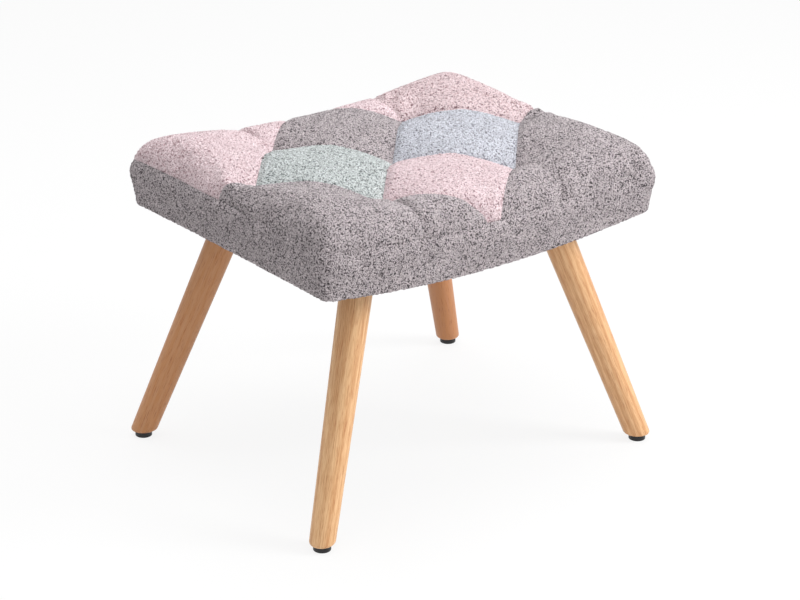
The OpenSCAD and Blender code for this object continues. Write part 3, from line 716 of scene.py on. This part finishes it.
def blow_up(bm):
    """Moves the skin as the cloth simulation moves it, with its moves kept under a limit."""
    mesh = bpy.data.meshes.new("skin")
    bm.to_mesh(mesh)
    skin = bpy.data.objects.new("skin", mesh)
    bpy.context.scene.collection.objects.link(skin)
    held = skin.vertex_groups.new(name="held")
    for vert in mesh.vertices:
        held.add([vert.index], held_share(vert.co), "REPLACE")
    cloth = skin.modifiers.new("padding", "CLOTH")
    cloth.settings.quality = 6
    cloth.settings.mass = 0.3
    cloth.settings.tension_stiffness = 12
    cloth.settings.compression_stiffness = 12
    cloth.settings.shear_stiffness = 6
    cloth.settings.bending_stiffness = 1.5
    cloth.settings.use_pressure = True
    cloth.settings.uniform_pressure_force = swell_pressure
    cloth.settings.shrink_min = looser_cloth
    cloth.settings.vertex_group_mass = "held"
    cloth.settings.effector_weights.gravity = 0
    cloth.collision_settings.use_collision = False
    for step in range(1, swell_frames + 1):
        bpy.context.scene.frame_set(step)
    view = bpy.context.evaluated_depsgraph_get()
    blown = np.empty(len(mesh.vertices) * 3, np.float32)
    skin.evaluated_get(view).data.vertices.foreach_get("co", blown)
    bpy.context.scene.frame_set(1)
    bpy.data.objects.remove(skin)
    for vert, place in zip(bm.verts, blown.reshape(-1, 3)):
        move = Vector(place) - vert.co
        vert.co += move / (1 + move.length / swell_limit)


blow_up(cover)

# The cloth is cut along the lines from tuft to tuft and sewn from fourteen diamonds and four side bands in
# five colours of looped wool. Every seam is drawn down a little into the padding.
seam_depth = 0.0028
seam_half_width = 0.0045
edge_seam_depth = 0.0012
cut_precision = 1e-4
far_from_seams = 1.0


def round_off(bm):
    """Divides every face of the skin once and rounds it."""
    mesh = bpy.data.meshes.new("skin")
    bm.to_mesh(mesh)
    skin = bpy.data.objects.new("skin", mesh)
    bpy.context.scene.collection.objects.link(skin)
    rounding = skin.modifiers.new("rounding", "SUBSURF")
    rounding.levels = rounding.render_levels = 1
    apply_modifiers(skin)
    bm.clear()
    bm.from_mesh(skin.data)
    bpy.data.objects.remove(skin)


bmesh.ops.delete(cover, geom=[f for f in cover.faces if f[part_of] == CLOSING], context="FACES")
round_off(cover)
part_of = cover.faces.layers.int["part"]
# The seams are straight in counts of the lattice, so the cloth is cut while it is spread out in those counts
for vert in cover.verts:
    vert.co.x, vert.co.y = in_lattice(vert.co.x, vert.co.y)
for lean in (1, -1):
    across = Vector((1, lean, 0))
    for line in (-2, 0, 2):
        top = [face for face in cover.faces if face[part_of] == TOP]
        parts = {e for f in top for e in f.edges} | {v for f in top for v in f.verts}
        bmesh.ops.bisect_plane(
            cover, geom=[*top, *parts], dist=cut_precision,
            plane_co=across * line / across.length_squared, plane_no=across)
for vert in cover.verts:
    vert.co.x, vert.co.y = from_lattice(vert.co.x, vert.co.y)


def seam_distance(place):
    """Distance in plan from the nearest seam of the diamonds."""
    spacing_x = tuft_dx if abs(place.x) < 2 * tuft_dx else outer_dx
    spacing_y = tuft_dy if abs(place.y) < tuft_dy else outer_dy
    a, b = (abs(count) for count in in_lattice(place.x, place.y))
    to_slanted_seam = min(abs(a + b - 2), abs(a - b - 2)) / math.hypot(1 / spacing_x, 1 / spacing_y)
    if b > 1:
        to_pleat = abs(abs(place.x) - tuft_dx - pleat_lean * (b - 1))
        return min(to_slanted_seam if a < 1 else far_from_seams, to_pleat)
    return min(to_slanted_seam, abs(a - b) / math.hypot(1 / spacing_x, 1 / spacing_y))


def diamond_of(face):
    """The lattice cell that a face of the top lies in, with the corners' tips counted to their diamonds."""
    place = face.calc_center_median()
    a, b = in_lattice(place.x, place.y)
    across = math.floor((a + b) / 2)
    along = math.floor((a - b) / 2)
    a, b = across + along + 1, across - along
    if abs(a) == 3 and b:
        a, b = int(math.copysign(2, a)), int(math.copysign(1, b))
    return a, b


pieces_of_cover = {
    "patch_front_middle": ((0, -1), "boucle_pink"),
    "patch_back_middle": ((0, 1), "boucle_grey"),
    "patch_middle_left": ((-1, 0), "boucle_green"),
    "patch_middle_right": ((1, 0), "boucle_blue"),
    "patch_front_left": ((-2, -1), "boucle_grey"),
    "patch_front_right": ((2, -1), "boucle_grey"),
    "patch_back_left": ((-2, 1), "boucle_pink"),
    "patch_back_right": ((2, 1), "boucle_speckled_pink"),
    "patch_front_edge_left": ((-1, -2), "boucle_grey"),
    "patch_front_edge_right": ((1, -2), "boucle_grey"),
    "patch_back_edge_left": ((-1, 2), "boucle_pink"),
    "patch_back_edge_right": ((1, 2), "boucle_pink"),
    "patch_left_end": ((-3, 0), "boucle_grey"),
    "patch_right_end": ((3, 0), "boucle_grey"),
    "front_band": (FRONT, "boucle_grey"),
    "back_band": (BACK, "boucle_grey"),
    "left_band": (LEFT, "boucle_grey"),
    "right_band": (RIGHT, "boucle_grey"),
}
numbers_of_places = {place: number for number, (place, slot) in enumerate(pieces_of_cover.values())}
piece_of = cover.faces.layers.int.new("piece")
for face in cover.faces:
    place = diamond_of(face) if face[part_of] == TOP else face[part_of]
    face[piece_of] = numbers_of_places[place]

sewn = cover.verts.layers.float.new("sewn")
cover.normal_update()
for vert in cover.verts:
    numbers = {face[piece_of] for face in vert.link_faces}
    height = vert.co.z - underside - bow(vert.co.x)
    on_top = any(face[part_of] == TOP for face in vert.link_faces)
    drop = 0.0
    if on_top:
        drop = seam_depth * math.exp(-(seam_distance(vert.co) / seam_half_width) ** 2)
    drop = max(drop, edge_seam_depth * math.exp(-((height - side_height) / seam_half_width) ** 2))
    vert[sewn] = 1.0 if len(numbers) > 1 or vert.is_boundary else 0.0
    vert.co -= vert.normal * drop

# Looped wool: short curls of yarn stand close together. Their crests are pale, and the gaps between them are
# painted dark as shade. Each loop takes its own random tone, and a few are of a darker fleck.
loop_size = 0.0018
tuft_of_loops = 0.0038
loop_rise = 0.0013
loop_reach = 0.72
loop_middle = 0.4
curl_swing = 0.45
curl_pace = 0.9
ruffle_swing = (1.4, 1.4, 1.4)
fray_swing = 0.9
shade_weight = 0.25
fleck_weight = 0.9
drift_weight = 0.10
yarn_depth = 0.0007


def loops_at(place):
    """Height from 0 to 1 of the loops of yarn at a place on the cloth."""
    at = place / tuft_of_loops
    at += curl_swing * noise.noise_vector(at * curl_pace)
    distances, _ = noise.voronoi(at)
    return max(0.0, 1 - (distances[0] / loop_reach) ** 2)


looped_yarn, given, made = new_effect(
    "looped_yarn",
    [("Place", VECTOR), ("Loop size", FLOAT), ("Pale yarn", COLOUR), ("Dark yarn and gap shade", COLOUR),
     ("Fleck", COLOUR), ("Fleck share", FLOAT)],
    [("Colour", COLOUR), ("Roughness", FLOAT), ("Height", FLOAT)],
)
in_loops = add(looped_yarn, "ShaderNodeVectorMath", {0: given["Place"]}, operation="SCALE")
looped_yarn.links.new(maths(looped_yarn, "DIVIDE", 1.0, given["Loop size"]), in_loops.inputs["Scale"])
ruffle = add(looped_yarn, "ShaderNodeTexNoise", {"Vector": in_loops.outputs[0], "Scale": 0.8, "Detail": 2.0})
ruffled = add(
    looped_yarn, "ShaderNodeVectorMath",
    {0: ruffle.outputs["Color"], 1: ruffle_swing, 2: in_loops.outputs[0]},
    operation="MULTIPLY_ADD")
loops = add(looped_yarn, "ShaderNodeTexVoronoi", {"Vector": ruffled.outputs[0], "Scale": 1.0})
fibres = add(looped_yarn, "ShaderNodeTexNoise", {"Vector": in_loops.outputs[0], "Scale": 3.5, "Detail": 3.0})
about_middle = maths(looped_yarn, "SUBTRACT", fibres.outputs["Fac"], 0.5)
fraying = maths(looped_yarn, "MULTIPLY", about_middle, fray_swing)
frayed = maths(looped_yarn, "ADD", loops.outputs["Distance"], fraying)
crest = ramp(looped_yarn, frayed, low=0.86, high=0.40)
# The gaps between the loops take the dark colour as painted shade, and the crests take the pale yarn
yarn = blend_colours(looped_yarn, crest, given["Dark yarn and gap shade"], given["Pale yarn"])
own = add(looped_yarn, "ShaderNodeSeparateColor", {"Color": loops.outputs["Color"]}).outputs
shade_share = maths(looped_yarn, "MULTIPLY", ramp(looped_yarn, own["Red"], low=0.9, high=0.1), shade_weight)
shaded = blend_colours(looped_yarn, shade_share, yarn, given["Dark yarn and gap shade"])
flecked = maths(looped_yarn, "GREATER_THAN", given["Fleck share"], own["Green"])
fleck_mix = blend_colours(
    looped_yarn, maths(looped_yarn, "MULTIPLY", flecked, fleck_weight), shaded, given["Fleck"])
patches = add(
    looped_yarn, "ShaderNodeTexNoise", {"Vector": in_loops.outputs[0], "Scale": 0.06, "Detail": 2.0})
drift_share = ramp(looped_yarn, patches.outputs["Fac"], low=0.35, high=0.65, to_high=drift_weight)
looped_yarn.links.new(
    blend_colours(looped_yarn, drift_share, fleck_mix, given["Dark yarn and gap shade"]), made["Colour"])
yarn_roughness = ramp(looped_yarn, fibres.outputs["Fac"], low=0.3, high=0.7, to_low=0.86, to_high=0.98)
looped_yarn.links.new(yarn_roughness, made["Roughness"])
looped_yarn.links.new(crest, made["Height"])


def boucle(name, pale, dark, fleck, fleck_share):
    """Looped wool cloth in one colour of yarn."""
    material, tree, shader = new_finish(
        name, IOR=1.4, Sheen_Weight=0.2, Sheen_Roughness=0.5, Specular_IOR_Level=0.25)
    place = add(tree, "ShaderNodeTexCoord").outputs["Object"]
    yarn = feed_effect(tree, looped_yarn, {
        "Place": place, "Loop size": loop_size, "Pale yarn": paint(*pale), "Dark yarn and gap shade": paint(*dark),
        "Fleck": paint(*fleck), "Fleck share": fleck_share,
    })
    wear_finish(tree, shader, yarn, yarn_depth)
    return material


# Each dark colour is the painted shade in the gaps between the loops as well as the darker yarn
boucle_cloths = {
    "boucle_grey": boucle(
        "grey_boucle", pale=(213, 202, 205), dark=(60, 51, 54), fleck=(46, 39, 42), fleck_share=0.08),
    "boucle_pink": boucle(
        "pink_boucle", pale=(247, 229, 233), dark=(196, 160, 166), fleck=(142, 108, 114), fleck_share=0.09),
    "boucle_speckled_pink": boucle(
        "speckled_pink_boucle", pale=(245, 227, 230), dark=(196, 160, 164), fleck=(118, 80, 86),
        fleck_share=0.15),
    "boucle_green": boucle(
        "green_boucle", pale=(227, 232, 232), dark=(118, 128, 127), fleck=(80, 84, 85), fleck_share=0.11),
    "boucle_blue": boucle(
        "blue_boucle", pale=(230, 232, 241), dark=(138, 139, 151), fleck=(96, 94, 104), fleck_share=0.10),
}
fine_cuts = 1


def piece_of_cloth(name, number, slot):
    """One sewn piece: its own part of the skin, with a back and with its loops raised on the face."""
    cloth = cover.copy()
    own = cloth.faces.layers.int["piece"]
    bmesh.ops.delete(cloth, geom=[f for f in cloth.faces if f[own] != number], context="FACES")
    sewn = cloth.verts.layers.float["sewn"]
    if fine_cuts:
        bmesh.ops.subdivide_edges(
            cloth, edges=list(cloth.edges), cuts=fine_cuts, use_grid_fill=True, smooth=0.0)
    cloth.normal_update()
    for vert in cloth.verts:
        if not vert.is_boundary:
            vert.co += vert.normal * loop_rise * (loops_at(vert.co) - loop_middle) * (1 - vert[sewn])
    piece = new_piece("sewn_" + name, cloth, boucle_cloths[slot])
    back = piece.modifiers.new("back", "SOLIDIFY")
    back.thickness = cloth_thickness
    back.offset = -1
    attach(piece, footstool)
    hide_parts(name)


for number, (name, (place, slot)) in enumerate(pieces_of_cover.items()):
    piece_of_cloth(name, number, slot)

# The pad on the deck is cut from polyurethane foam and the thin ring round the frame is polyester wadding.
# Both lie hidden under the cover, which presses them into its own form a little way inside it.
press_gap = 0.0006
longest_edge = 0.008
same_place = 1e-6
cell_depth = 0.0004
foam_cell_size = 0.0009
tuft_of_wadding_size = 0.0022
foam_fill = 1.0
wadding_fill = 0.5
cover_face = BVHTree.FromBMesh(cover)
fill_surface, given, made = new_effect(
    "open_fill",
    [("Place", VECTOR), ("Plain", COLOUR), ("Shade", COLOUR), ("Cell size", FLOAT)],
    [("Colour", COLOUR), ("Roughness", FLOAT), ("Height", FLOAT)],
)
in_cells = add(fill_surface, "ShaderNodeVectorMath", {0: given["Place"]}, operation="SCALE")
fill_surface.links.new(maths(fill_surface, "DIVIDE", 1.0, given["Cell size"]), in_cells.inputs["Scale"])
cells = add(fill_surface, "ShaderNodeTexVoronoi", {"Vector": in_cells.outputs[0], "Scale": 1.0})
drift = add(fill_surface, "ShaderNodeTexNoise", {"Vector": in_cells.outputs[0], "Scale": 0.1, "Detail": 4.0})
in_cell = ramp(fill_surface, cells.outputs["Distance"], low=0.1, high=0.6)
# The hollows of the cells are painted darker as shade, more in some patches than in others
shade = maths(fill_surface, "MULTIPLY", maths(fill_surface, "SUBTRACT", 1.0, in_cell), drift.outputs["Fac"])
fill_surface.links.new(blend_colours(fill_surface, shade, given["Plain"], given["Shade"]), made["Colour"])
fill_roughness = ramp(fill_surface, drift.outputs["Fac"], low=0.2, high=0.8, to_low=0.85, to_high=0.98)
fill_surface.links.new(fill_roughness, made["Roughness"])
fill_surface.links.new(in_cell, made["Height"])


def filling(name, plain, shade_to, cell):
    material, tree, shader = new_finish(name, IOR=1.4)
    place = add(tree, "ShaderNodeTexCoord").outputs["Object"]
    surface = feed_effect(tree, fill_surface, {
        "Place": place, "Plain": paint(*plain), "Shade": paint(*shade_to), "Cell size": cell,
    })
    wear_finish(tree, shader, surface, cell_depth)
    return material


cream_foam = filling("cream_foam", plain=(240, 232, 206), shade_to=(206, 192, 152), cell=foam_cell_size)
white_wadding = filling(
    "white_wadding", plain=(246, 246, 242), shade_to=(218, 218, 214), cell=tuft_of_wadding_size)
for node, name, slot, material, fill in (
    ("seat_foam", "foam_pad", "foam_cream", cream_foam, foam_fill),
    ("edge_wadding", "wadding_ring", "wadding_white", white_wadding, wadding_fill),
):
    pad = bmesh.new()
    pad.from_mesh(nodes[node].data)
    bmesh.ops.remove_doubles(pad, verts=pad.verts, dist=same_place)
    bmesh.ops.subdivide_edges(pad, edges=[e for e in pad.edges if e.calc_length() > longest_edge], cuts=1)
    for vert in pad.verts:
        place, normal, _, _ = cover_face.find_nearest(vert.co)
        depth = (place - vert.co).dot(normal)
        vert.co -= normal * max(0.0, cloth_thickness + press_gap - depth)
    piece = new_piece(name, pad, material, smooth=False)
    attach(piece, footstool)
    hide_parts(node)
cover.free()

# The dust cover is a sheet of black spunbond cloth with a hole for each leg. It is stapled under the frame
# along its edges, follows the frame's curve and sags a little between the rails.
dust_half_length = 0.260
dust_half_width = 0.205
dust_thickness = 0.0008
dust_sag = 0.003
dust_stapled = 0.030
dust_step = 0.010
leg_clearance = 0.003
spunbond_dark = (18, 18, 20)
spunbond_light = (62, 62, 66)
bond_depth = 0.0002
dust_low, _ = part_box("dust_cover")
spunbond, tree, shader = new_finish("black_spunbond", IOR=1.4)
place = add(tree, "ShaderNodeTexCoord").outputs["Object"]
threads = add(tree, "ShaderNodeTexNoise", {"Vector": place, "Scale": 900.0, "Detail": 5.0})
dots = add(tree, "ShaderNodeTexVoronoi", {"Vector": place, "Scale": 620.0, "Randomness": 0.1})
bonded = ramp(tree, dots.outputs["Distance"], low=0.18, high=0.30)
webbed = maths(tree, "MULTIPLY", threads.outputs["Fac"], bonded)
tree.links.new(
    blend_colours(tree, webbed, paint(*spunbond_dark), paint(*spunbond_light)), shader.inputs["Base Color"])
tree.links.new(
    ramp(tree, bonded, low=0, high=1, to_low=0.5, to_high=0.85), shader.inputs["Roughness"])
bump = add(tree, "ShaderNodeBump", {"Height": webbed, "Distance": bond_depth})
tree.links.new(bump.outputs["Normal"], shader.inputs["Normal"])


def slack(distance_from_edge):
    """Share of the sag, from none at the staples to all in the middle."""
    share = min(1.0, max(0.0, distance_from_edge - dust_stapled) / dust_half_width)
    return math.sin(math.pi / 2 * share) ** 2


dust = bmesh.new()
bmesh.ops.create_grid(
    dust, x_segments=round(2 * dust_half_length / dust_step),
    y_segments=round(2 * dust_half_width / dust_step), size=1)
for vert in dust.verts:
    x, y = vert.co.x * dust_half_length, vert.co.y * dust_half_width
    loose = slack(dust_half_length - abs(x)) * slack(dust_half_width - abs(y))
    vert.co = (x, y, dust_low.z + dust_thickness + bow(x) - dust_sag * loose)
bmesh.ops.solidify(dust, geom=dust.faces, thickness=dust_thickness)
bmesh.ops.recalc_face_normals(dust, faces=dust.faces)
dust_piece = new_piece("dust_sheet", dust, spunbond)
leg_holes = []
for corner in corner_names:
    foot, head = leg_ends(corner)
    level = dust_low.z + bow(leg_top_x)
    middle = head.lerp(foot, (head.z - level) / (head.z - foot.z))
    hole_radius = leg_top_radius / math.cos((head - foot).angle(Vector((0, 0, 1)))) + leg_clearance
    rise = Vector((0, 0, end_rise))
    leg_holes.append((middle - rise, middle + rise, hole_radius))
bore(dust_piece, leg_holes)
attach(dust_piece, footstool)
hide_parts("dust_cover")

# The floor is plain and pale, and the stool stands loose on it. It shows near white to the camera but keeps
# the stool's soft shadow.
floor_whiteness = 0.86
floor_reach = 12
floor_mesh = bmesh.new()
bmesh.ops.create_grid(floor_mesh, x_segments=1, y_segments=1, size=floor_reach)
pale_floor, tree, shader = new_finish("pale_floor", Base_Color=paint(246, 246, 246), Roughness=0.9)


def seen_ray(tree):
    """One where the camera looks, or where gloss or glass shows the surroundings, and nought elsewhere."""
    rays = add(tree, "ShaderNodeLightPath").outputs
    looked_at = maths(tree, "MAXIMUM", rays["Is Camera Ray"], rays["Is Glossy Ray"])
    return maths(tree, "MAXIMUM", looked_at, rays["Is Transmission Ray"])


white = add(tree, "ShaderNodeEmission", {"Color": (1, 1, 1, 1), "Strength": 1.0}).outputs[0]
white_share = maths(tree, "MULTIPLY", seen_ray(tree), floor_whiteness)
lifted = add(tree, "ShaderNodeMixShader", {0: white_share, 1: shader.outputs[0], 2: white})
tree.links.new(lifted.outputs[0], tree.nodes["Material Output"].inputs["Surface"])
floor = new_piece("floor", floor_mesh, pale_floor, smooth=False)

# Studio light: a broad soft key stands high on the right and a large panel hangs overhead, inside an even
# pale surround.
ambient_level = 0.48
key_place = (1.9, -1.9, 1.9)
key_size = 1.2
key_power = 66
overhead_place = (0.1, 0.2, 2.8)
overhead_size = 2.0
overhead_power = 42
aim = Vector((0, 0, 0.3))
bpy.context.scene.view_settings.view_transform = "Standard"
world = bpy.data.worlds.new("studio")
bpy.context.scene.world = world
world.use_nodes = True
tree = world.node_tree
surround = tree.nodes["Background"]
surround.inputs["Color"].default_value = (1, 1, 1, 1)
tree.links.new(
    ramp(tree, seen_ray(tree), low=0, high=1, to_low=ambient_level), surround.inputs["Strength"])


def soft_light(name, place, size, power):
    lamp = bpy.data.lights.new(name, "AREA")
    lamp.shape = "SQUARE"
    lamp.size = size
    lamp.energy = power
    light = bpy.data.objects.new(name, lamp)
    light.location = place
    light.rotation_mode = "QUATERNION"
    light.rotation_quaternion = (Vector(place) - aim).to_track_quat("Z", "Y")
    bpy.context.scene.collection.objects.link(light)


soft_light("key", key_place, key_size, key_power)
soft_light("overhead", overhead_place, overhead_size, overhead_power)
